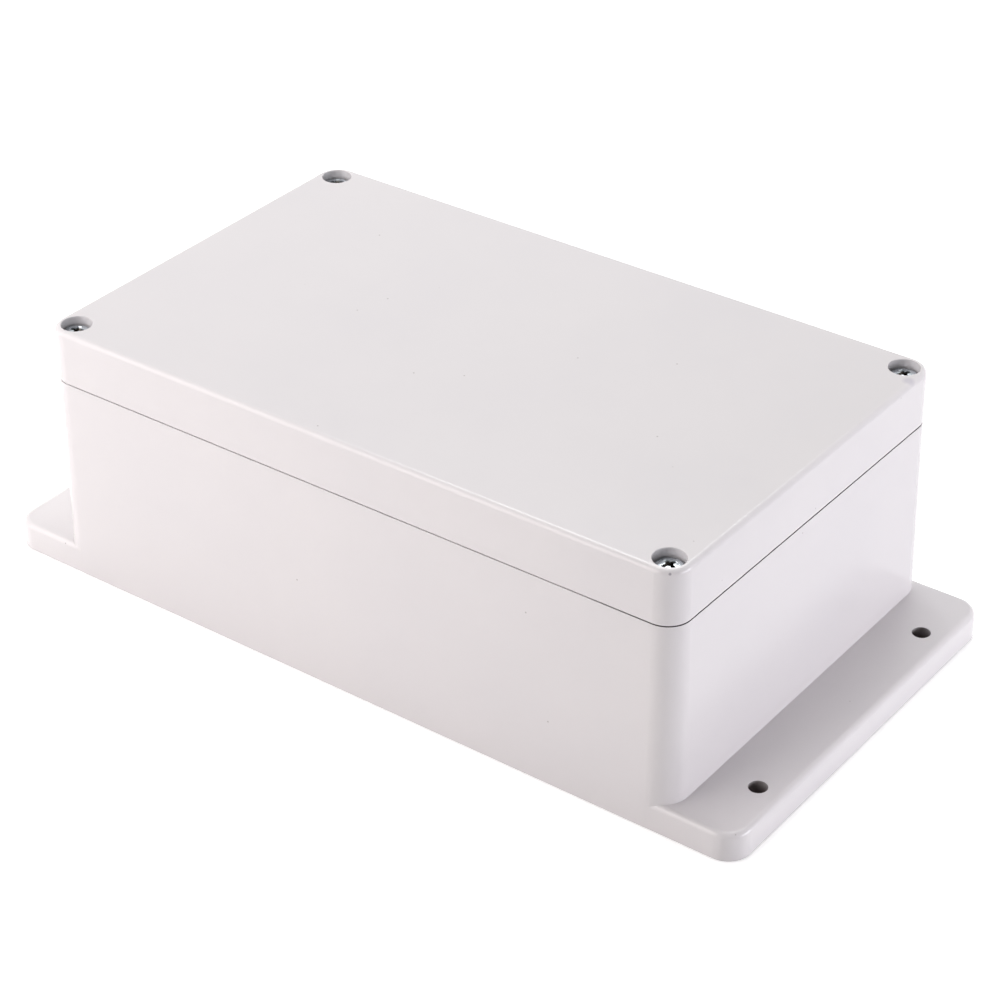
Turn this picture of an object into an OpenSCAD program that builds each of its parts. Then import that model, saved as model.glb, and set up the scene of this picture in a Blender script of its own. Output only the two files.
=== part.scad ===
// Flanged plastic project box: a drafted base moulded in one piece with two fixing ears,
// a screwed-down lid with a seal in its groove, four lid screws and four brass inserts.
// Millimetres. Origin at the bottom centre, +X along the length, +Z up.

/* [Case] */
// Length of the case at the seam, without the ears
case_length = 200; // [180:1:206]
// Width of the case at the seam
case_width = 120; // [100:1:160]
// Height of the closed case
case_height = 75.5; // [60:0.5:120]
// Height of the lid's share of the case
lid_height = 15.5; // [14:0.5:20]
// Plan radius of the upright corners at the seam
corner_radius = 6.5; // [6:0.1:8]
// How far each base wall leans outward on its way down
base_lean = 1; // [0.2:0.1:1.2]
// How far each lid wall leans inward on its way up
lid_lean = 0.1; // [0.05:0.05:0.4]
// Radius along the lid's top edge
lid_edge_radius = 1.5; // [0.6:0.1:2]
// Height of the open shadow gap at the seam
seam_gap = 0.4; // [0.2:0.1:0.8]

/* [Walls] */
// Thickness of the base wall at the rim
rim_wall = 3.3; // [3:0.1:4]
// Thickness of the base floor
floor_thickness = 3; // [2:0.1:5]
// Thickness of the lid's roof
roof_thickness = 3; // [2:0.1:4]
// How far each inner wall leans inward on its way to the floor
core_lean = 0.5; // [0.2:0.1:1]
// Depth of the shallow panel sunk into the underside
underside_recess = 0.8; // [0.4:0.1:1.2]

/* [Ears] */
// Length over both ears
overall_length = 239.5; // [236:0.5:260]
// Thickness of an ear
ear_thickness = 8; // [6:0.5:10]
// Plan radius of an ear's outer corners
ear_corner_radius = 6.5; // [5:0.1:9]
// Radius along an ear's top edge
ear_edge_radius = 1.6; // [0.5:0.1:2.5]
// Distance between fixing holes along the length
fixing_spacing_x = 225; // [218:1:228]
// Distance between fixing holes across the width
fixing_spacing_y = 80; // [60:1:100]
// Diameter of a fixing hole
fixing_hole_d = 5; // [4:0.1:6]
// Thickness of the skin over the cored underside of an ear
ear_skin = 2.4; // [2:0.1:3]
// Number of hollow cells under each ear
ear_cells = 6; // [4:1:8]

/* [Seal] */
// Width of the tongue that stands on the rim
tongue_width = 1.5; // [1.2:0.1:2]
// Height of the tongue above the seam
tongue_height = 2.8; // [2:0.1:3.5]
// Clearance on each side of the tongue in its groove
tongue_clearance = 0.3; // [0.2:0.05:0.5]
// Depth of the groove above the seam
groove_depth = 5; // [4.5:0.1:6]
// Height of the fitted seal
gasket_height = 2; // [1:0.1:2.1]

/* [Screws] */
// Distance from a corner's outer faces to the screw axis
screw_inset = 6; // [5.5:0.1:7]
// Diameter of the counterbore in the lid
counterbore_d = 8.4; // [7.5:0.1:8.6]
// Depth of the counterbore
counterbore_depth = 4.5; // [4:0.1:6]
// Diameter of the screw head
head_d = 7.2; // [6:0.1:7.2]
// Height of the screw head
head_height = 2.8; // [2:0.1:3]
// Diameter of the screw shank over its thread
shank_d = 3.9; // [3.5:0.1:3.9]
// Length of the screw under its head
screw_length = 20; // [18:1:24]
// Length of a brass insert
insert_length = 10; // [8:1:12]

/* [Inside] */
// Radius of a corner pillar at the seam
pillar_radius = 7; // [6.8:0.1:8]
// Height of the board posts above the floor
post_height = 7; // [4:0.5:12]
// Distance between board posts along the length
post_spacing_x = 150; // [100:1:160]
// Distance between board posts across the width
post_spacing_y = 80; // [60:1:88]
// Diameter of the pilot hole in a board post
post_pilot_d = 2.8; // [2:0.1:3]
// Thickness of the board that slides into the wall guides
board_slot = 2; // [1.6:0.1:2.4]

/* [Hidden] */
$fn = 64;

FRONT = -1;
BACK = 1;
LEFT = -1;
RIGHT = 1;

plastic_color = [0.91, 0.89, 0.89];
seal_color = [0.24, 0.24, 0.25];
zinc_color = [0.78, 0.80, 0.82];
brass_color = [0.80, 0.64, 0.32];

// Overlap that keeps a cut clear of the face it passes through
over = 1;

seam_z = case_height - lid_height;
rim_z = seam_z - seam_gap / 2;
skirt_z = seam_z + seam_gap / 2;
screw_x = case_length / 2 - screw_inset;
screw_y = case_width / 2 - screw_inset;

// The ear's sides stand a hair inside the case wall, so that the case corner shows above them
ear_side_step = 0.05;
ear_lean = base_lean * ear_thickness / rim_z;
ear_width = case_width + 2 * base_lean - 2 * ear_lean - 2 * ear_side_step;
ear_wall = 2.2;
cell_depth = ear_thickness - ear_skin;
cell_wall = 0.8;
cell_inner_x = case_length / 2 + base_lean + cell_wall;
cell_rib = 1.8;
fixing_boss_r = 5;

// Seal outline: the inner face of the base wall at the seam
seal_length = case_length - 2 * rim_wall;
seal_width = case_width - 2 * rim_wall;
gasket_side_gap = 0.1;
lid_inner_skirt = 1.6;
lid_core_radius = 2;

pad_r = 4.6;
pillar_lean = 0.4;
shank_hole_r = 2.3;
counterbore_chamfer = 0.1;
seat_z = case_height - counterbore_depth;
insert_r = 3.05;
insert_seat_r = 3;
insert_bore_r = 2;
insert_top_z = seam_z - 0.1;
insert_bottom_z = insert_top_z - insert_length;
insert_band_share = 0.35;
insert_waist_depth = 0.45;
relief_r = 2.2;
relief_depth = 10;

crown_rise = 0.6;
tip_chamfer = 0.6;
recess_span = 4.4;
recess_slot = 1.1;
recess_depth = 1.9;

post_top_r = 3.4;
post_foot_r = 4;
post_pilot_floor = 1;
guide_rib = 1.6;
guide_depth = 2.2;
guide_height = 45;
guide_places = [-50, 0, 50];
floor_chamfer = 1.5;
underside_rim = 8;

// Copies of the children at the four places with these half spacings
module at_corners(half_x, half_y) {
    for (side_x = [LEFT, RIGHT], side_y = [FRONT, BACK])
        translate([side_x * half_x, side_y * half_y, 0])
            children();
}

// Straight stretch of wall: the child profile's x points outward and its y points up
module wall_run(distance, span) {
    translate([distance, span / 2, 0])
        rotate([90, 0, 0])
            linear_extrude(span)
                children();
}

// Sweeps a wall profile round a rounded rectangle and fills the middle.
// The profile starts on the corner axis, and its height is given by low_z and high_z.
module round_block(length, width, radius, low_z, high_z) {
    run_x = length / 2 - radius;
    run_y = width / 2 - radius;
    lap = radius / 4;
    for (quarter = [0:3])
        translate([
            (quarter == 0 || quarter == 3 ? 1 : -1) * run_x,
            (quarter < 2 ? 1 : -1) * run_y,
            0
        ])
            rotate([0, 0, 90 * quarter])
                rotate_extrude(angle = 90)
                    children();
    for (turn = [0, 180]) {
        rotate([0, 0, turn])
            wall_run(run_x, 2 * run_y)
                children();
        rotate([0, 0, turn + 90])
            wall_run(run_y, 2 * run_x)
                children();
    }
    translate([-run_x - lap, -run_y - lap, low_z])
        cube([2 * (run_x + lap), 2 * (run_y + lap), high_z - low_z]);
}

// Profile of a leaning wall: bottom_x wide at low_z, top_x wide at high_z
module leaning_profile(bottom_x, top_x, low_z, high_z) {
    polygon([[0, low_z], [bottom_x, low_z], [top_x, high_z], [0, high_z]]);
}

// The same with its top edge rounded by an arc tangent to the top and to the leaning side
module rounded_profile(bottom_x, top_x, low_z, high_z, edge) {
    lean_angle = atan((bottom_x - top_x) / (high_z - low_z));
    arc_x = top_x + edge * tan(lean_angle) - edge / cos(lean_angle);
    arc_z = high_z - edge;
    polygon([
        [0, low_z],
        [bottom_x, low_z],
        [arc_x + edge * cos(lean_angle), arc_z + edge * sin(lean_angle)],
        [arc_x, high_z],
        [0, high_z]
    ]);
    translate([arc_x, arc_z])
        circle(edge);
}

// Outline of the seal path grown outward by grow: it passes inside the corner pillars
module seal_outline(grow) {
    difference() {
        square([seal_length + 2 * grow, seal_width + 2 * grow], center = true);
        at_corners(screw_x, screw_y)
            circle(pillar_radius - grow);
        at_corners(screw_x + corner_radius, screw_y + corner_radius)
            square(2 * corner_radius, center = true);
    }
}

// Rounded rectangle
module round_outline(length, width, radius) {
    square([length - 2 * radius, width], center = true);
    square([length, width - 2 * radius], center = true);
    at_corners(length / 2 - radius, width / 2 - radius)
        circle(radius);
}

// Outside of the base without its ears
module base_body() {
    round_block(case_length, case_width, corner_radius, 0, rim_z)
        leaning_profile(corner_radius + base_lean, corner_radius, 0, rim_z);
}

// Ear plate: it runs through under the case from one ear to the other
module ear_plate() {
    round_block(overall_length - 2 * ear_lean, ear_width, ear_corner_radius, 0, ear_thickness)
        rounded_profile(
            ear_corner_radius + ear_lean, ear_corner_radius, 0, ear_thickness, ear_edge_radius
        );
}

// Hollow of the base, with the four pillars left standing in its corners
module base_hollow() {
    hollow_top = seam_z + tongue_height + over;
    run_up = hollow_top - floor_thickness;
    wall_slope = core_lean / (seam_z - floor_thickness);
    corner = corner_radius - rim_wall + core_lean;
    top_x = corner + wall_slope * (hollow_top - seam_z);
    floor_x = top_x - wall_slope * run_up;
    difference() {
        round_block(seal_length, seal_width, corner, floor_thickness, hollow_top)
            polygon([
                [0, floor_thickness],
                [floor_x - floor_chamfer, floor_thickness],
                [floor_x, floor_thickness + floor_chamfer],
                [top_x, hollow_top],
                [0, hollow_top]
            ]);
        at_corners(screw_x, screw_y)
            translate([0, 0, floor_thickness - over])
                cylinder(
                    h = run_up + 2 * over, r1 = pillar_radius + pillar_lean, r2 = pillar_radius
                );
    }
}

// Cells that core an ear from below, leaving cross ribs and a boss round each fixing hole
module ear_cells_cut(side) {
    pitch = (ear_width - 2 * ear_wall + cell_rib) / ear_cells;
    cell_x = overall_length / 2 - cell_inner_x;
    translate([0, 0, -over])
        linear_extrude(cell_depth + over)
            difference() {
                intersection() {
                    round_outline(
                        overall_length - 2 * ear_wall, ear_width - 2 * ear_wall,
                        ear_corner_radius - ear_wall
                    );
                    for (cell = [0:ear_cells - 1])
                        translate([
                            side * (cell_inner_x + cell_x / 2),
                            (cell - (ear_cells - 1) / 2) * pitch
                        ])
                            square([cell_x, pitch - cell_rib], center = true);
                }
                at_corners(fixing_spacing_x / 2, fixing_spacing_y / 2)
                    circle(fixing_boss_r);
            }
}

// Post for a circuit board
module board_post() {
    translate([0, 0, floor_thickness - over])
        cylinder(h = post_height + over, r1 = post_foot_r, r2 = post_top_r);
}

// Pair of ribs on a long wall that guide the edge of an upright board
module guide_pair(side) {
    for (rib = [-1, 1])
        translate([
            rib * (board_slot + guide_rib) / 2 - guide_rib / 2,
            side > 0 ? seal_width / 2 - core_lean - guide_depth : -seal_width / 2 - over,
            floor_thickness - over
        ])
            cube([guide_rib, guide_depth + core_lean + over, guide_height + over]);
}

module base() {
    color(plastic_color)
        difference() {
            union() {
                difference() {
                    union() {
                        base_body();
                        ear_plate();
                        translate([0, 0, rim_z - over])
                            linear_extrude(tongue_height + seam_gap / 2 + over)
                                seal_outline(tongue_width);
                        at_corners(screw_x, screw_y)
                            translate([0, 0, rim_z - over])
                                cylinder(h = seam_z - rim_z + over, r = pad_r);
                    }
                    base_hollow();
                }
                at_corners(post_spacing_x / 2, post_spacing_y / 2)
                    board_post();
                for (side = [FRONT, BACK], place = guide_places)
                    translate([place, 0, 0])
                        guide_pair(side);
            }
            at_corners(screw_x, screw_y) {
                translate([0, 0, insert_bottom_z])
                    cylinder(h = insert_length + over, r = insert_seat_r);
                translate([0, 0, insert_bottom_z - relief_depth])
                    cylinder(h = relief_depth + over, r = relief_r);
            }
            at_corners(post_spacing_x / 2, post_spacing_y / 2)
                translate([0, 0, floor_thickness + post_pilot_floor])
                    cylinder(h = post_height, d = post_pilot_d);
            at_corners(fixing_spacing_x / 2, fixing_spacing_y / 2)
                translate([0, 0, -over])
                    cylinder(h = ear_thickness + 2 * over, d = fixing_hole_d);
            for (side = [LEFT, RIGHT])
                ear_cells_cut(side);
            translate([0, 0, -over])
                linear_extrude(underside_recess + over)
                    round_outline(
                        case_length - 2 * underside_rim, case_width - 2 * underside_rim,
                        corner_radius
                    );
        }
}

// Hollow under the lid, with the four screw corners left standing
module lid_hollow() {
    roof_z = case_height - roof_thickness;
    inset = tongue_clearance + lid_inner_skirt;
    length = seal_length - 2 * inset;
    width = seal_width - 2 * inset;
    core_lean_up = core_lean / 2;
    corner_r = pillar_radius + inset;
    difference() {
        round_block(length, width, lid_core_radius, skirt_z - over, roof_z)
            leaning_profile(
                lid_core_radius, lid_core_radius - core_lean_up, skirt_z - over, roof_z
            );
        at_corners(screw_x, screw_y)
            translate([0, 0, skirt_z - 2 * over])
                cylinder(h = lid_height + over, r1 = corner_r, r2 = corner_r + pillar_lean);
    }
}

module lid() {
    color(plastic_color)
        difference() {
            union() {
                round_block(case_length, case_width, corner_radius, skirt_z, case_height)
                    rounded_profile(
                        corner_radius, corner_radius - lid_lean, skirt_z, case_height,
                        lid_edge_radius
                    );
                at_corners(screw_x, screw_y)
                    translate([0, 0, seam_z])
                        cylinder(h = over, r = pad_r);
            }
            lid_hollow();
            translate([0, 0, seam_z - over])
                linear_extrude(groove_depth + over)
                    difference() {
                        seal_outline(tongue_width + tongue_clearance);
                        seal_outline(-tongue_clearance);
                    }
            at_corners(screw_x, screw_y) {
                translate([0, 0, seam_z - over])
                    cylinder(h = lid_height, r = shank_hole_r);
                translate([0, 0, seat_z])
                    cylinder(h = counterbore_depth + over, d = counterbore_d);
                translate([0, 0, case_height - counterbore_chamfer])
                    cylinder(
                        h = counterbore_chamfer + over,
                        r1 = counterbore_d / 2,
                        r2 = counterbore_d / 2 + counterbore_chamfer + over
                    );
            }
        }
}

module gasket() {
    color(seal_color)
        translate([0, 0, seam_z + groove_depth - gasket_height])
            linear_extrude(gasket_height)
                difference() {
                    seal_outline(tongue_width + tongue_clearance - gasket_side_gap);
                    seal_outline(gasket_side_gap - tongue_clearance);
                }
}

// Cross recess: two crossed slots that narrow towards the bottom of the recess
module cross_recess() {
    intersection() {
        for (turn = [0, 90])
            rotate([0, 0, turn])
                translate([-recess_span / 2, -recess_slot / 2, 0])
                    cube([recess_span, recess_slot, recess_depth + over]);
        cylinder(h = recess_depth + over, r1 = recess_slot / 2, r2 = recess_span / 2 + over);
    }
}

// Lid screw standing on the seat of its counterbore, with its recess turned by turn
module lid_screw(side_x, side_y, turn) {
    rim_height = head_height - crown_rise;
    crown_r = (pow(head_d / 2, 2) + pow(crown_rise, 2)) / (2 * crown_rise);
    color(zinc_color)
        translate([side_x * screw_x, side_y * screw_y, seat_z])
            rotate([0, 0, turn])
                difference() {
                    union() {
                        rotate_extrude()
                            intersection() {
                                square([head_d / 2, head_height]);
                                translate([0, head_height - crown_r])
                                    circle(crown_r);
                            }
                        translate([0, 0, tip_chamfer - screw_length])
                            cylinder(h = screw_length - tip_chamfer + rim_height, d = shank_d);
                        translate([0, 0, -screw_length])
                            cylinder(h = tip_chamfer, r1 = shank_d / 2 - tip_chamfer, r2 = shank_d / 2);
                    }
                    translate([0, 0, head_height - recess_depth])
                        cross_recess();
                }
}

// Brass insert pressed into a corner pillar: two knurled bands with a waist between them
module insert(side_x, side_y) {
    band = insert_length * insert_band_share;
    waist_r = insert_r - insert_waist_depth;
    color(brass_color)
        translate([side_x * screw_x, side_y * screw_y, insert_bottom_z])
            difference() {
                union() {
                    cylinder(h = band, r = insert_r);
                    cylinder(h = insert_length, r = waist_r);
                    translate([0, 0, insert_length - band])
                        cylinder(h = band, r = insert_r);
                }
                translate([0, 0, -over])
                    cylinder(h = insert_length + 2 * over, r = insert_bore_r);
            }
}

module lid_screw_front_left() {
    lid_screw(LEFT, FRONT, 20);
}

module lid_screw_front_right() {
    lid_screw(RIGHT, FRONT, 68);
}

module lid_screw_back_left() {
    lid_screw(LEFT, BACK, 35);
}

module lid_screw_back_right() {
    lid_screw(RIGHT, BACK, 57);
}

module insert_front_left() {
    insert(LEFT, FRONT);
}

module insert_front_right() {
    insert(RIGHT, FRONT);
}

module insert_back_left() {
    insert(LEFT, BACK);
}

module insert_back_right() {
    insert(RIGHT, BACK);
}

base();
lid();
gasket();
lid_screw_front_left();
lid_screw_front_right();
lid_screw_back_left();
lid_screw_back_right();
insert_front_left();
insert_front_right();
insert_back_left();
insert_back_right();
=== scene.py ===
"""Dresses the flanged plastic project box: finishes, threads, floor, lights and camera."""
import math

import bmesh
import bpy
from mathutils import Matrix, Vector

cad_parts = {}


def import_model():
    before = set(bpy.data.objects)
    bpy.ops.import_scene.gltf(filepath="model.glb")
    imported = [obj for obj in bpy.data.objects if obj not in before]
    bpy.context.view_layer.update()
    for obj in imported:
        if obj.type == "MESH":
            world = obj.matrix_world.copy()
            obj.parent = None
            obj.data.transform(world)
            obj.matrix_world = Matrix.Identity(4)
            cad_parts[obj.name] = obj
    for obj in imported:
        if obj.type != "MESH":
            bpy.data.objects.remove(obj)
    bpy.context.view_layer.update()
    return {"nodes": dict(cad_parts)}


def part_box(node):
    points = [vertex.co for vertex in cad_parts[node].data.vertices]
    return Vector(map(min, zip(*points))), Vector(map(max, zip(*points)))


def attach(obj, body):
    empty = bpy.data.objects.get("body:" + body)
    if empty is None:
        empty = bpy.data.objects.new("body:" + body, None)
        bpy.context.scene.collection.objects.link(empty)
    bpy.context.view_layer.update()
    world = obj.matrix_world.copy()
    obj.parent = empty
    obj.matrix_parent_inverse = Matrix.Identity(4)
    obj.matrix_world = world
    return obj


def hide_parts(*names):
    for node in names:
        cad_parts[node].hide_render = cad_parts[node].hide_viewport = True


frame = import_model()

MM = 0.001

# ---------------------------------------------------------------- camera
CAMERA_AZIMUTH = 36.93      # degrees, from the long front face towards the ear at +X
CAMERA_ELEVATION = 32.72
CAMERA_ROLL = -0.50
CAMERA_DISTANCE = 0.7328
CAMERA_TARGET = Vector((0.01464, -0.0132, 0.040))
CAMERA_LENS = 101.07        # mm on a 36 mm sensor

# ---------------------------------------------------------------- case
SEAM_HEIGHT = 60 * MM
SEAM_GAP = 0.4 * MM
CORNER_RADIUS = 6.5 * MM    # of the upright corners at the seam
SEAM_SHADE_HEIGHT = 1.04     # of the gap's, a little over it so that the painted shade covers both its faces
SEAM_SHADE_DEPTH = (0.06 * MM, 0.7 * MM)     # how far in from the outer face the painted shade lies in the gap
SEAM_SHADE_START = 0.7       # share of the half length at which the painted shade begins, growing to the right end
EAR_THICKNESS = 8 * MM
FIXING_PLACE = (112.5 * MM, 40 * MM)        # one of the four fixing holes; the rest mirror it
FIXING_RADIUS = 2.6 * MM    # just over the hole's own radius, so that its wall lies inside
HOLE_SHADE_DEPTH = 3.5 * MM  # from the mouth of a fixing hole to where the painted shade is full
MOUTH_SHADE = 0.4            # how much painted shade a fixing hole has at its mouth
EDGE_MARGIN = 0.12 * MM     # keeps the painted shade in a hole off the face round it
SPECK_RADIUS = 0.3 * MM
SPECK_CORE = 0.5            # share of its radius within which a speck is at its darkest
SPECKS_PER_METRE = 110
DOT_PLACE = (97.2 * MM, -58.6 * MM, 74.6 * MM)      # dark spot on the lid's front right corner
DOT_RADIUS = 0.45 * MM
GREY_PATCH_PLACE = (98.3 * MM, 48.6 * MM, 75.4 * MM)    # grey patch beside the back right screw
GREY_PATCH_RADIUS = 2.0 * MM
SPOT_CORE = 0.4             # as SPECK_CORE, for the dot and the grey patch

# ---------------------------------------------------------------- finishes
# A pair of colours or roughnesses is what a noise wanders between. Each finish has three scales, in
# features a metre: for its colour, its roughness and its grain. The grain's height is in metres.
NOISE_SPAN = (0.3, 0.7)     # part of the noise's 0 to 1 over which a finish goes from one to the other
PLASTIC = ((0.780, 0.752, 0.762, 1), (0.762, 0.736, 0.750, 1))
PLASTIC_ROUGHNESS = (0.20, 0.23)
PLASTIC_SCALES = (22, 140, 2600)
PLASTIC_GRAIN = 0.012 * MM
MOTTLE_SPAN = (0.35, 0.65)  # as NOISE_SPAN, for the plastic's colour
PAINTED_SEAM_SHADE = (0.08, 0.07, 0.07, 1)                # painted shade in the seam gap
# painted shade down the fixing holes, darker with depth
PAINTED_HOLE_SHADE = (0.13, 0.10, 0.095, 1)
SPECK = (0.50, 0.47, 0.47, 1)
DOT = (0.38, 0.36, 0.39, 1)
GREY_PATCH = (0.65, 0.62, 0.67, 1)
ZINC = ((0.42, 0.46, 0.50, 1), (0.60, 0.63, 0.65, 1))
ZINC_ROUGHNESS = (0.16, 0.30)
ZINC_SCALES = (900, 2600, 1500)
ZINC_GRAIN = 0.03 * MM
BRASS = ((0.62, 0.43, 0.16, 1), (0.74, 0.55, 0.24, 1))
BRASS_ROUGHNESS = (0.24, 0.40)
BRASS_SCALES = (700, 2200, 5200)
BRASS_GRAIN = 0.006 * MM
RUBBER = ((0.040, 0.040, 0.043, 1), (0.062, 0.062, 0.066, 1))
RUBBER_ROUGHNESS = (0.72, 0.88)
RUBBER_SCALES = (300, 900, 2600)            # its grain is cells, not noise
RUBBER_GRAIN = 0.06 * MM

# ---------------------------------------------------------------- stage
FLOOR_SIZE = 8.0
FLOOR_DROP = 0.0002
FLOOR_COLOUR = (0.80, 0.80, 0.80, 1)
FLOOR_GLOW = (0.55, 1.0)    # what the floor adds, for camera and glossy rays only, near and far
GLOW_RAMP = (0.4, 1.2)      # metres from the object over which that grows, as the lamps' light fades
WORLD_LEVEL = 0.02
WHITE = (1, 1, 1, 1)

# ---------------------------------------------------------------- M4 lid screws and inserts
TURN_OF_RECESS = {"front_left": 20, "front_right": 68, "back_left": 35, "back_right": 57}
SCREW_LENGTH = 20 * MM      # under the head
CROWN_RISE = 0.6 * MM       # of the head's domed top over its rim
HEAD_EDGE = 0.35 * MM       # radius round the rim of the head
HEAD_CHAMFER = 0.15 * MM    # round the underside of the head and where the neck meets it
RECESS_DEPTH = 1.9 * MM
RECESS_REACH = (0.75 * MM, 2.2 * MM)        # length of a recess arm at the bottom and the top
RECESS_HALF_SLOT = (0.42 * MM, 0.55 * MM)
RECESS_FLARE = (0.05 * MM, 0.3 * MM)        # cut across the inner corners between the arms
RECESS_OVERSHOOT = 0.3      # share of the depth by which the cutter goes on above the head
# grime and painted shade inside the cross recess
RECESS_GRIME_AND_SHADE = (0.10, 0.09, 0.08, 1)
GRIME_AND_SHADE_DEPTH = (0.03 * MM, 0.6 * MM)         # below the dome, where the grime and painted shade begin and are full
GRIME_AND_SHADE_FLOOR = 0.5 * MM      # above the head's underside; no grime or painted shade below it
GRIME_AND_SHADE_REACH = 1.15 * RECESS_REACH[1]        # from the screw's axis
THREAD_PITCH = 0.7 * MM
THREAD_RINGS = 8            # rings of points to each pitch
THREAD_COLUMNS = 48         # points round each ring
INNER_FLAT = 0.25           # share of the pitch that is flat at a thread's inner radius
OUTER_FLAT = 0.125          # and at its outer radius
SCREW_CREST = 1.95 * MM
SCREW_ROOT = 1.58 * MM
SCREW_NECK = 1.8 * MM
SCREW_NECK_LENGTH = 0.9 * MM
TIP_CHAMFER = 0.6 * MM
INSERT_CREST = 2.0 * MM     # clears the screw's crests, because the joint turns it with no climb
INSERT_ROOT = 2.25 * MM
TOOTH_COLUMNS = 3           # points to each tooth of the knurl
INSERT_COLUMNS = 36 * TOOTH_COLUMNS
KNURL_DEPTH = 0.14 * MM
BAND_SHARE = 0.35           # of the insert's length, for each knurled band
WAIST_DEPTH = 0.45 * MM
INSERT_CHAMFER = 0.25 * MM


def node_material(name):
    """New material, with its node tree and its Principled shader."""
    material = bpy.data.materials.new(name)
    material.use_nodes = True
    tree = material.node_tree
    return material, tree, tree.nodes["Principled BSDF"]


def noise(tree, coordinates, scale, detail=3.0, roughness=0.5):
    """Noise of `scale` features a metre."""
    texture = tree.nodes.new("ShaderNodeTexNoise")
    texture.inputs["Scale"].default_value = scale
    texture.inputs["Detail"].default_value = detail
    texture.inputs["Roughness"].default_value = roughness
    tree.links.new(coordinates, texture.inputs["Vector"])
    return texture.outputs["Fac"]


def map_range(tree, value, low, high, to_low, to_high):
    """`value` taken from low..high to to_low..to_high, clamped."""
    node = tree.nodes.new("ShaderNodeMapRange")
    limits = {"From Min": low, "From Max": high, "To Min": to_low, "To Max": to_high}
    for socket, number in limits.items():
        node.inputs[socket].default_value = number
    tree.links.new(value, node.inputs["Value"])
    return node.outputs["Result"]


def math_node(tree, operation, first, second):
    """Math node; each of the two operands is a socket or a number."""
    node = tree.nodes.new("ShaderNodeMath")
    node.operation = operation
    for index, operand in enumerate((first, second)):
        if isinstance(operand, (int, float)):
            node.inputs[index].default_value = operand
        else:
            tree.links.new(operand, node.inputs[index])
    return node.outputs[0]


def mix_colour(tree, factor, first, second):
    """Blend of two colours; each is a socket or four numbers."""
    node = tree.nodes.new("ShaderNodeMix")
    node.data_type = "RGBA"
    tree.links.new(factor, node.inputs["Factor"])
    for socket, colour in ((node.inputs[6], first), (node.inputs[7], second)):
        if isinstance(colour, tuple):
            socket.default_value = colour
        else:
            tree.links.new(colour, socket)
    return node.outputs[2]


def separate(tree, place):
    """The x, y and z of a place."""
    node = tree.nodes.new("ShaderNodeSeparateXYZ")
    tree.links.new(place, node.inputs[0])
    return list(node.outputs)


def hypotenuse(tree, first, second):
    squares = [math_node(tree, "MULTIPLY", side, side) for side in (first, second)]
    return math_node(tree, "SQRT", math_node(tree, "ADD", *squares), 0.0)


def between(tree, value, low, high):
    """1 where `value` lies between the two numbers, and 0 elsewhere."""
    above = math_node(tree, "GREATER_THAN", value, low)
    return math_node(tree, "MULTIPLY", above, math_node(tree, "LESS_THAN", value, high))


def off_centre(tree, value, centre):
    """How far |value| is past `centre`, so that both mirrored sides count as one."""
    return math_node(tree, "SUBTRACT", math_node(tree, "ABSOLUTE", value, 0.0), centre)


def spot(tree, place, centre, radius):
    """1 at `centre`, falling to 0 at `radius` from it."""
    node = tree.nodes.new("ShaderNodeVectorMath")
    node.operation = "DISTANCE"
    tree.links.new(place, node.inputs[0])
    node.inputs[1].default_value = centre
    return map_range(tree, node.outputs["Value"], SPOT_CORE * radius, radius, 1.0, 0.0)


def upright_hole(tree, x, y, z, centre, radius, low, high):
    """1 inside four upright holes that mirror each other, from height low to high."""
    reach = hypotenuse(tree, off_centre(tree, x, centre[0]), off_centre(tree, y, centre[1]))
    inside = math_node(tree, "LESS_THAN", reach, radius)
    return math_node(tree, "MULTIPLY", inside, between(tree, z, low, high))


def depth_from_outline(tree, x, y, half_length, half_width, radius):
    """Depth inside a rectangle with rounded corners, seen in plan."""
    past_x = off_centre(tree, x, half_length - radius)
    past_y = off_centre(tree, y, half_width - radius)
    outside = hypotenuse(
        tree, math_node(tree, "MAXIMUM", past_x, 0.0), math_node(tree, "MAXIMUM", past_y, 0.0)
    )
    inside = math_node(tree, "MINIMUM", math_node(tree, "MAXIMUM", past_x, past_y), 0.0)
    return math_node(tree, "SUBTRACT", radius, math_node(tree, "ADD", outside, inside))


def bump(tree, height, distance, shader):
    """Bumps the shader's normal by a height of 0 to 1 times `distance` metres."""
    node = tree.nodes.new("ShaderNodeBump")
    node.inputs["Strength"].default_value = 1.0
    node.inputs["Distance"].default_value = distance
    tree.links.new(height, node.inputs["Height"])
    tree.links.new(node.outputs["Normal"], shader.inputs["Normal"])


def object_coordinates(tree):
    return tree.nodes.new("ShaderNodeTexCoord").outputs["Object"]


def cloudy(tree, place, scale, colours):
    """The two colours in soft patches, `scale` of them a metre."""
    cloud = map_range(tree, noise(tree, place, scale), *NOISE_SPAN, 0.0, 1.0)
    return mix_colour(tree, cloud, *colours)


def uneven_roughness(tree, place, scale, span, shader):
    """Roughness that wanders between the two values of `span`."""
    tree.links.new(
        map_range(tree, noise(tree, place, scale), *NOISE_SPAN, *span), shader.inputs["Roughness"]
    )


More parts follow.
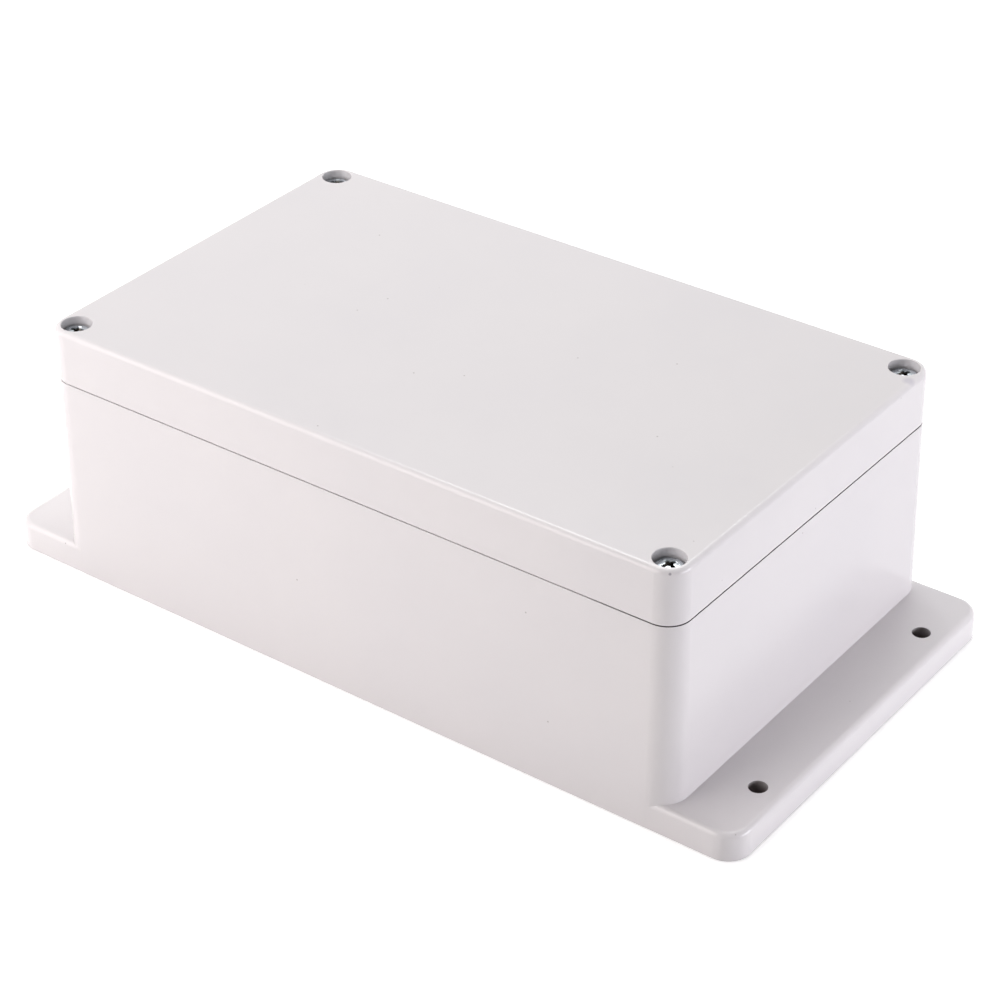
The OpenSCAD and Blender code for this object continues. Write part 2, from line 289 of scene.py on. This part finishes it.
def plastic_colour(tree, place):
    """Pale grey with a faint mottle, a few specks, a dot and a grey patch, and painted shade in the
    seam gap and down the fixing holes.
    """
    x, y, z = separate(tree, place)
    mottle = map_range(tree, noise(tree, place, PLASTIC_SCALES[0], detail=4.0), *MOTTLE_SPAN, 0.0, 1.0)
    colour = mix_colour(tree, mottle, *PLASTIC)

    cells = tree.nodes.new("ShaderNodeTexVoronoi")
    cells.inputs["Scale"].default_value = SPECKS_PER_METRE
    tree.links.new(place, cells.inputs["Vector"])
    speck_reach = SPECK_RADIUS * SPECKS_PER_METRE
    specks = map_range(tree, cells.outputs["Distance"], SPECK_CORE * speck_reach, speck_reach, 1.0, 0.0)

    # Painted shade down the fixing holes, lighter at the mouth.
    fixing_hole = math_node(
        tree, "MULTIPLY",
        upright_hole(tree, x, y, z, FIXING_PLACE, FIXING_RADIUS, -MM, EAR_THICKNESS - EDGE_MARGIN),
        map_range(tree, z, EAR_THICKNESS - HOLE_SHADE_DEPTH, EAR_THICKNESS, 1.0, MOUTH_SHADE)
    )

    lid_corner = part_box("lid")[1]
    depth = depth_from_outline(tree, x, y, lid_corner.x, lid_corner.y, CORNER_RADIUS)
    # Painted shade in the seam gap, darker towards the right end.
    half_shade = SEAM_SHADE_HEIGHT * SEAM_GAP / 2
    in_gap = between(tree, z, SEAM_HEIGHT - half_shade, SEAM_HEIGHT + half_shade)
    near_edge = between(tree, depth, *SEAM_SHADE_DEPTH)
    towards_right = map_range(tree, x, SEAM_SHADE_START * lid_corner.x, lid_corner.x, 0.0, 1.0)
    seam = math_node(tree, "MULTIPLY", towards_right, math_node(tree, "MULTIPLY", in_gap, near_edge))

    # The seam and fixing hole tints are painted shade; the specks, dot and grey patch are marks on the
    # plastic.
    for mask, tint in (
        (specks, SPECK),
        (spot(tree, place, GREY_PATCH_PLACE, GREY_PATCH_RADIUS), GREY_PATCH),
        (spot(tree, place, DOT_PLACE, DOT_RADIUS), DOT),
        (seam, PAINTED_SEAM_SHADE),
        (fixing_hole, PAINTED_HOLE_SHADE),
    ):
        colour = mix_colour(tree, mask, colour, tint)
    return colour


def plastic_material():
    """Pale grey moulded ABS with a fine eroded grain."""
    material, tree, shader = node_material("case_plastic")
    place = object_coordinates(tree)
    tree.links.new(plastic_colour(tree, place), shader.inputs["Base Color"])
    uneven_roughness(tree, place, PLASTIC_SCALES[1], PLASTIC_ROUGHNESS, shader)
    shader.inputs["IOR"].default_value = 1.5
    grain = noise(tree, place, PLASTIC_SCALES[2], detail=2.0, roughness=0.6)
    bump(tree, grain, PLASTIC_GRAIN, shader)
    return material


def zinc_material(dome, head_height):
    """Bright bluish zinc plate, darkened inside the cross recess by grime and painted shade."""
    material, tree, shader = node_material("screw_zinc")
    place = object_coordinates(tree)
    plate = cloudy(tree, place, ZINC_SCALES[0], ZINC)
    # Grime and painted shade darken the plate down inside the recess.
    recess = depth_in_recess(tree, place, dome, head_height)
    tree.links.new(mix_colour(tree, recess, plate, RECESS_GRIME_AND_SHADE), shader.inputs["Base Color"])
    shader.inputs["Metallic"].default_value = 1.0
    uneven_roughness(tree, place, ZINC_SCALES[1], ZINC_ROUGHNESS, shader)
    bump(tree, noise(tree, place, ZINC_SCALES[2], detail=2.0), ZINC_GRAIN, shader)
    return material


def depth_in_recess(tree, place, dome, head_height):
    """0 on the outside of a screw, rising to 1 down inside its recess, where grime and painted shade
    darken it.
    """
    from_dome = tree.nodes.new("ShaderNodeVectorMath")
    from_dome.operation = "DISTANCE"
    tree.links.new(place, from_dome.inputs[0])
    from_dome.inputs[1].default_value = (0, 0, head_height - dome)
    begins, full = (dome - depth for depth in GRIME_AND_SHADE_DEPTH)
    sunk = map_range(tree, from_dome.outputs["Value"], begins, full, 0.0, 1.0)
    x, y, z = separate(tree, place)
    in_head = math_node(tree, "GREATER_THAN", z, GRIME_AND_SHADE_FLOOR)
    in_middle = math_node(tree, "LESS_THAN", hypotenuse(tree, x, y), GRIME_AND_SHADE_REACH)
    return math_node(tree, "MULTIPLY", sunk, math_node(tree, "MULTIPLY", in_head, in_middle))


def brass_material():
    """Turned brass."""
    material, tree, shader = node_material("insert_brass")
    place = object_coordinates(tree)
    tree.links.new(cloudy(tree, place, BRASS_SCALES[0], BRASS), shader.inputs["Base Color"])
    shader.inputs["Metallic"].default_value = 1.0
    uneven_roughness(tree, place, BRASS_SCALES[1], BRASS_ROUGHNESS, shader)
    bump(tree, noise(tree, place, BRASS_SCALES[2], detail=2.0), BRASS_GRAIN, shader)
    return material


def seal_material():
    """Dark closed-cell rubber."""
    material, tree, shader = node_material("seal_rubber")
    place = object_coordinates(tree)
    cells = tree.nodes.new("ShaderNodeTexVoronoi")
    cells.inputs["Scale"].default_value = RUBBER_SCALES[2]
    tree.links.new(place, cells.inputs["Vector"])
    tree.links.new(cloudy(tree, place, RUBBER_SCALES[0], RUBBER), shader.inputs["Base Color"])
    uneven_roughness(tree, place, RUBBER_SCALES[1], RUBBER_ROUGHNESS, shader)
    bump(tree, cells.outputs["Distance"], RUBBER_GRAIN, shader)
    return material


def dress(node, material):
    """Gives a CAD node one finish."""
    mesh = frame["nodes"][node].data
    mesh.materials.clear()
    mesh.materials.append(material)


def revolve(name, rings, columns, loop=False):
    """Mesh of rings of points round Z. A ring is (radius, height); its radius may be a function of
    the angle, and a radius of 0 is a single point on the axis. A loop joins the last to the first."""
    mesh = bmesh.new()
    rows = []
    for radius, height in rings:
        if radius == 0:
            rows.append([mesh.verts.new((0, 0, height))] * columns)
            continue
        row = []
        for column in range(columns):
            angle = math.tau * column / columns
            reach = radius(angle) if callable(radius) else radius
            row.append(mesh.verts.new((reach * math.cos(angle), reach * math.sin(angle), height)))
        rows.append(row)
    followers = rows[1:] + rows[:1] if loop else rows[1:]
    for low, high in zip(rows, followers):
        for column in range(columns):
            after = (column + 1) % columns
            corners = (low[column], low[after], high[after], high[column])
            mesh.faces.new(list(dict.fromkeys(corners)))
    bmesh.ops.recalc_face_normals(mesh, faces=mesh.faces)
    data = bpy.data.meshes.new(name)
    mesh.to_mesh(data)
    mesh.free()
    return data


def thread_radius(height, outer, inner):
    """Radius of a right-handed thread at this height, as a function of the angle."""
    def radius(angle):
        phase = (height / THREAD_PITCH - angle / math.tau) % 1
        flank = min(max((abs(2 * phase - 1) - INNER_FLAT) / (1 - INNER_FLAT - OUTER_FLAT), 0), 1)
        return inner + (outer - inner) * flank
    return radius


def thread_heights(low, high):
    """Even heights from low to high, at least THREAD_RINGS of them to a pitch."""
    steps = math.ceil((high - low) / THREAD_PITCH * THREAD_RINGS)
    return [low + (high - low) * step / steps for step in range(steps + 1)]


def arc(centre, radius, start, end, steps):
    """Points (radius, height) of an arc about `centre`, from start to end in radians."""
    angles = [start + (end - start) * step / steps for step in range(steps + 1)]
    return [(centre[0] + radius * math.cos(a), centre[1] + radius * math.sin(a)) for a in angles]


def shank_rings():
    """Threaded shank, from the centre of its tip up to the underside of the head at height 0."""
    rings = [(0, -SCREW_LENGTH)]
    for height in thread_heights(-SCREW_LENGTH, -SCREW_NECK_LENGTH):
        tip = SCREW_CREST - TIP_CHAMFER + height + SCREW_LENGTH
        run_out = min(1, max(0, (height + SCREW_NECK_LENGTH) / THREAD_PITCH + 1))
        cut = thread_radius(height, SCREW_CREST, SCREW_ROOT)
        rings.append((
            lambda angle, tip=tip, cut=cut, share=run_out: min(
                tip, cut(angle) * (1 - share) + SCREW_NECK * share
            ),
            height
        ))
    return rings + [(SCREW_NECK, -HEAD_CHAMFER), (SCREW_NECK + HEAD_CHAMFER, 0)]


def dome_radius(head_radius):
    """Radius of the sphere that domes the head by CROWN_RISE."""
    return (head_radius ** 2 + CROWN_RISE ** 2) / (2 * CROWN_RISE)


def head_rings(head_radius, head_height):
    """Pan head: a rounded rim that runs into a domed top."""
    dome = dome_radius(head_radius)
    dome_centre = head_height - dome
    edge_x = head_radius - HEAD_EDGE
    edge_z = dome_centre + math.sqrt((dome - HEAD_EDGE) ** 2 - edge_x ** 2)
    meet = math.atan2(edge_z - dome_centre, edge_x)
    rings = [(head_radius - HEAD_CHAMFER, 0), (head_radius, HEAD_CHAMFER)]
    rings += arc((edge_x, edge_z), HEAD_EDGE, 0, meet, steps=8)
    rings += arc((0, dome_centre), dome, meet, math.pi / 2, steps=14)[1:-1]
    return rings + [(0, head_height)]


def recess_cutter(top):
    """Closed cross with four tapered arms, from the bottom of the recess to above `top`."""
    mesh = bmesh.new()
    outlines = []
    above = top + RECESS_OVERSHOOT * RECESS_DEPTH
    for share, height in ((0, top - RECESS_DEPTH), (1, top), (1 + RECESS_OVERSHOOT, above)):
        reach, half, flare = (
            low + (high - low) * share for low, high in (RECESS_REACH, RECESS_HALF_SLOT, RECESS_FLARE)
        )
        points = []
        for quarter in range(4):
            turn = Matrix.Rotation(quarter * math.pi / 2, 3, "Z")
            for x, y in ((reach, -half), (reach, half), (half + flare, half), (half, half + flare)):
                points.append(mesh.verts.new(turn @ Vector((x, y, height))))
        outlines.append(points)
    for low, high in zip(outlines, outlines[1:]):
        for index in range(len(low)):
            after = (index + 1) % len(low)
            mesh.faces.new((low[index], low[after], high[after], high[index]))
    mesh.faces.new(list(reversed(outlines[0])))
    mesh.faces.new(outlines[-1])
    bmesh.ops.recalc_face_normals(mesh, faces=mesh.faces)
    data = bpy.data.meshes.new("recess_cutter")
    mesh.to_mesh(data)
    mesh.free()
    return data


def cut_out(data, cutter_data):
    """Mesh of `data` with `cutter_data` cut out of it."""
    scene = bpy.context.scene
    body = bpy.data.objects.new("body", data)
    cutter = bpy.data.objects.new("cutter", cutter_data)
    for thing in (body, cutter):
        scene.collection.objects.link(thing)
    modifier = body.modifiers.new("cut", "BOOLEAN")
    modifier.operation = "DIFFERENCE"
    modifier.solver = "EXACT"
    modifier.object = cutter
    graph = bpy.context.evaluated_depsgraph_get()
    result = bpy.data.meshes.new_from_object(body.evaluated_get(graph))
    for thing in (body, cutter):
        bpy.data.objects.remove(thing)
    return result


def finish_mesh(data, material, sharp_angle):
    """Smooth shading with the edges above `sharp_angle` degrees kept sharp, and one material."""
    data.materials.clear()
    data.materials.append(material)
    data.shade_smooth()
    data.set_sharp_from_angle(angle=math.radians(sharp_angle))


def place_piece(name, data, place, turn, node, body):
    """New piece that stands for a CAD node and rides on its body."""
    piece = bpy.data.objects.new(name, data)
    bpy.context.scene.collection.objects.link(piece)
    piece.matrix_world = Matrix.Translation(place) @ Matrix.Rotation(math.radians(turn), 4, "Z")
    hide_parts(node)
    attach(piece, body)


def insert_rings(low, high, outer):
    """Knurled outside from low to high, then the thread down; heights are from the screw's seat."""
    band = (high - low) * BAND_SHARE
    waist = outer - WAIST_DEPTH

    def knurl(angle):
        tooth = angle * INSERT_COLUMNS / TOOTH_COLUMNS / math.tau % 1
        return outer - KNURL_DEPTH * abs(2 * tooth - 1)

    rings = []
    for start, end in ((low, low + band), (high - band, high)):
        rings += [
            (waist if start > low else outer - KNURL_DEPTH - INSERT_CHAMFER, start),
            (knurl, start + INSERT_CHAMFER),
            (knurl, end - INSERT_CHAMFER),
            (waist if end < high else outer - KNURL_DEPTH - INSERT_CHAMFER, end),
        ]
    rings.append((INSERT_ROOT, high))
    for height in reversed(thread_heights(low, high)):
        mouth = INSERT_ROOT - min(high - height, height - low)
        cut = thread_radius(height, INSERT_ROOT, INSERT_CREST)
        rings.append((lambda angle, mouth=mouth, cut=cut: max(mouth, cut(angle)), height))
    return rings


def make_screws_and_inserts():
    """Four cross-recess screws, and brass inserts with threads that clear the screws' own."""
    low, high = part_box("lid_screw_front_left")
    head_radius = (high.x - low.x) / 2
    head_height = high.z - low.z - SCREW_LENGTH
    zinc = zinc_material(dome_radius(head_radius), head_height)
    brass = brass_material()
    screw = revolve("screw", shank_rings() + head_rings(head_radius, head_height), THREAD_COLUMNS)
    screw = cut_out(screw, recess_cutter(head_height))
    finish_mesh(screw, zinc, sharp_angle=32)
    seat = low.z + SCREW_LENGTH
    low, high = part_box("insert_front_left")
    rings = insert_rings(low.z - seat, high.z - seat, (high.x - low.x) / 2)
    insert = revolve("insert", rings, INSERT_COLUMNS, loop=True)
    finish_mesh(insert, brass, sharp_angle=40)
    for corner, turn in TURN_OF_RECESS.items():
        low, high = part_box("lid_screw_" + corner)
        place = Vector(((low.x + high.x) / 2, (low.y + high.y) / 2, seat))
        place_piece(
            "cross_screw_" + corner, screw, place, turn,
            "lid_screw_" + corner, "screw_" + corner
        )
        place_piece(
            "brass_insert_" + corner, insert, place, turn,
            "insert_" + corner, "case"
        )


def white_to_camera(tree, level):
    """Strength that is `level` for camera, glossy and transmission rays and 0 for the rest."""
    path = tree.nodes.new("ShaderNodeLightPath")
    seen = math_node(tree, "MAXIMUM", path.outputs["Is Camera Ray"], path.outputs["Is Glossy Ray"])
    seen = math_node(tree, "MAXIMUM", seen, path.outputs["Is Transmission Ray"])
    return math_node(tree, "MULTIPLY", seen, level)


def floor():
    """Plain white floor: it takes the shadow, and shows white where nothing shades it."""
    mesh = bpy.data.meshes.new("floor")
    half = FLOOR_SIZE / 2
    corners = [(x * half, y * half, -FLOOR_DROP) for x, y in ((-1, -1), (1, -1), (1, 1), (-1, 1))]
    mesh.from_pydata(corners, [], [(0, 1, 2, 3)])
    ground = bpy.data.objects.new("floor", mesh)
    bpy.context.scene.collection.objects.link(ground)
    material, tree, shader = node_material("floor")
    shader.inputs["Base Color"].default_value = FLOOR_COLOUR
    shader.inputs["Roughness"].default_value = 1.0
    shader.inputs["Specular IOR Level"].default_value = 0.0
    shader.inputs["Emission Color"].default_value = WHITE
    x, y, _ = separate(tree, object_coordinates(tree))
    level = map_range(tree, hypotenuse(tree, x, y), *GLOW_RAMP, *FLOOR_GLOW)
    tree.links.new(white_to_camera(tree, level), shader.inputs["Emission Strength"])
    mesh.materials.append(material)


def world():
    """Even white surroundings, plain white where the camera sees them."""
    surroundings = bpy.data.worlds.new("studio")
    bpy.context.scene.world = surroundings
    surroundings.use_nodes = True
    tree = surroundings.node_tree
    background = tree.nodes["Background"]
    background.inputs["Color"].default_value = WHITE
    seen = white_to_camera(tree, 1 - WORLD_LEVEL)
    tree.links.new(math_node(tree, "ADD", seen, WORLD_LEVEL), background.inputs["Strength"])


def softbox(name, azimuth, elevation, distance, width, height, power, colour=(1, 1, 1)):
    """Rectangular lamp that faces the object from the given direction."""
    lamp = bpy.data.lights.new(name, "AREA")
    lamp.shape = "RECTANGLE"
    lamp.size = width
    lamp.size_y = height
    lamp.energy = power
    lamp.color = colour
    holder = bpy.data.objects.new(name, lamp)
    bpy.context.scene.collection.objects.link(holder)
    back = direction(azimuth, elevation)
    holder.matrix_world = facing(back, back * distance)


def lamps():
    """Three soft lamps; sizes and distances are in metres, angles in degrees, powers in watts."""
    softbox(
        "key_front_left", azimuth=-34, elevation=24, distance=0.75,
        width=0.78, height=0.62, power=5.25, colour=(1, 0.957, 0.947)
    )
    softbox(
        "fill_right", azimuth=103, elevation=8, distance=0.8,
        width=0.52, height=0.2, power=3.74, colour=(0.965, 0.95, 1)
    )
    softbox(
        "top_back_left", azimuth=-153, elevation=68, distance=0.9,
        width=0.55, height=0.75, power=5.95
    )


def direction(azimuth, elevation):
    """Unit vector from the object; azimuth 0 is -Y and 90 is +X."""
    a, e = math.radians(azimuth), math.radians(elevation)
    return Vector((math.sin(a) * math.cos(e), -math.cos(a) * math.cos(e), math.sin(e)))


def facing(back, place, roll=0.0):
    """Matrix of a camera or lamp at `place` that looks along -back."""
    right = Vector((0, 0, 1)).cross(back).normalized()
    up = back.cross(right)
    turn = math.radians(roll)
    rolled_right = right * math.cos(turn) + up * math.sin(turn)
    rolled_up = up * math.cos(turn) - right * math.sin(turn)
    matrix = Matrix((rolled_right, rolled_up, back)).transposed().to_4x4()
    matrix.translation = place
    return matrix


def camera():
    lens = bpy.data.cameras.new("camera")
    lens.lens = CAMERA_LENS
    lens.sensor_width = 36
    lens.clip_start = 0.01
    lens.clip_end = 50
    holder = bpy.data.objects.new("camera", lens)
    bpy.context.scene.collection.objects.link(holder)
    back = direction(CAMERA_AZIMUTH, CAMERA_ELEVATION)
    holder.matrix_world = facing(back, CAMERA_TARGET + back * CAMERA_DISTANCE, CAMERA_ROLL)
    bpy.context.scene.camera = holder


camera()
floor()
world()
lamps()

plastic = plastic_material()
for piece in ("base", "lid"):
    dress(piece, plastic)
dress("gasket", seal_material())
make_screws_and_inserts()

bpy.context.scene.view_settings.view_transform = "Standard"
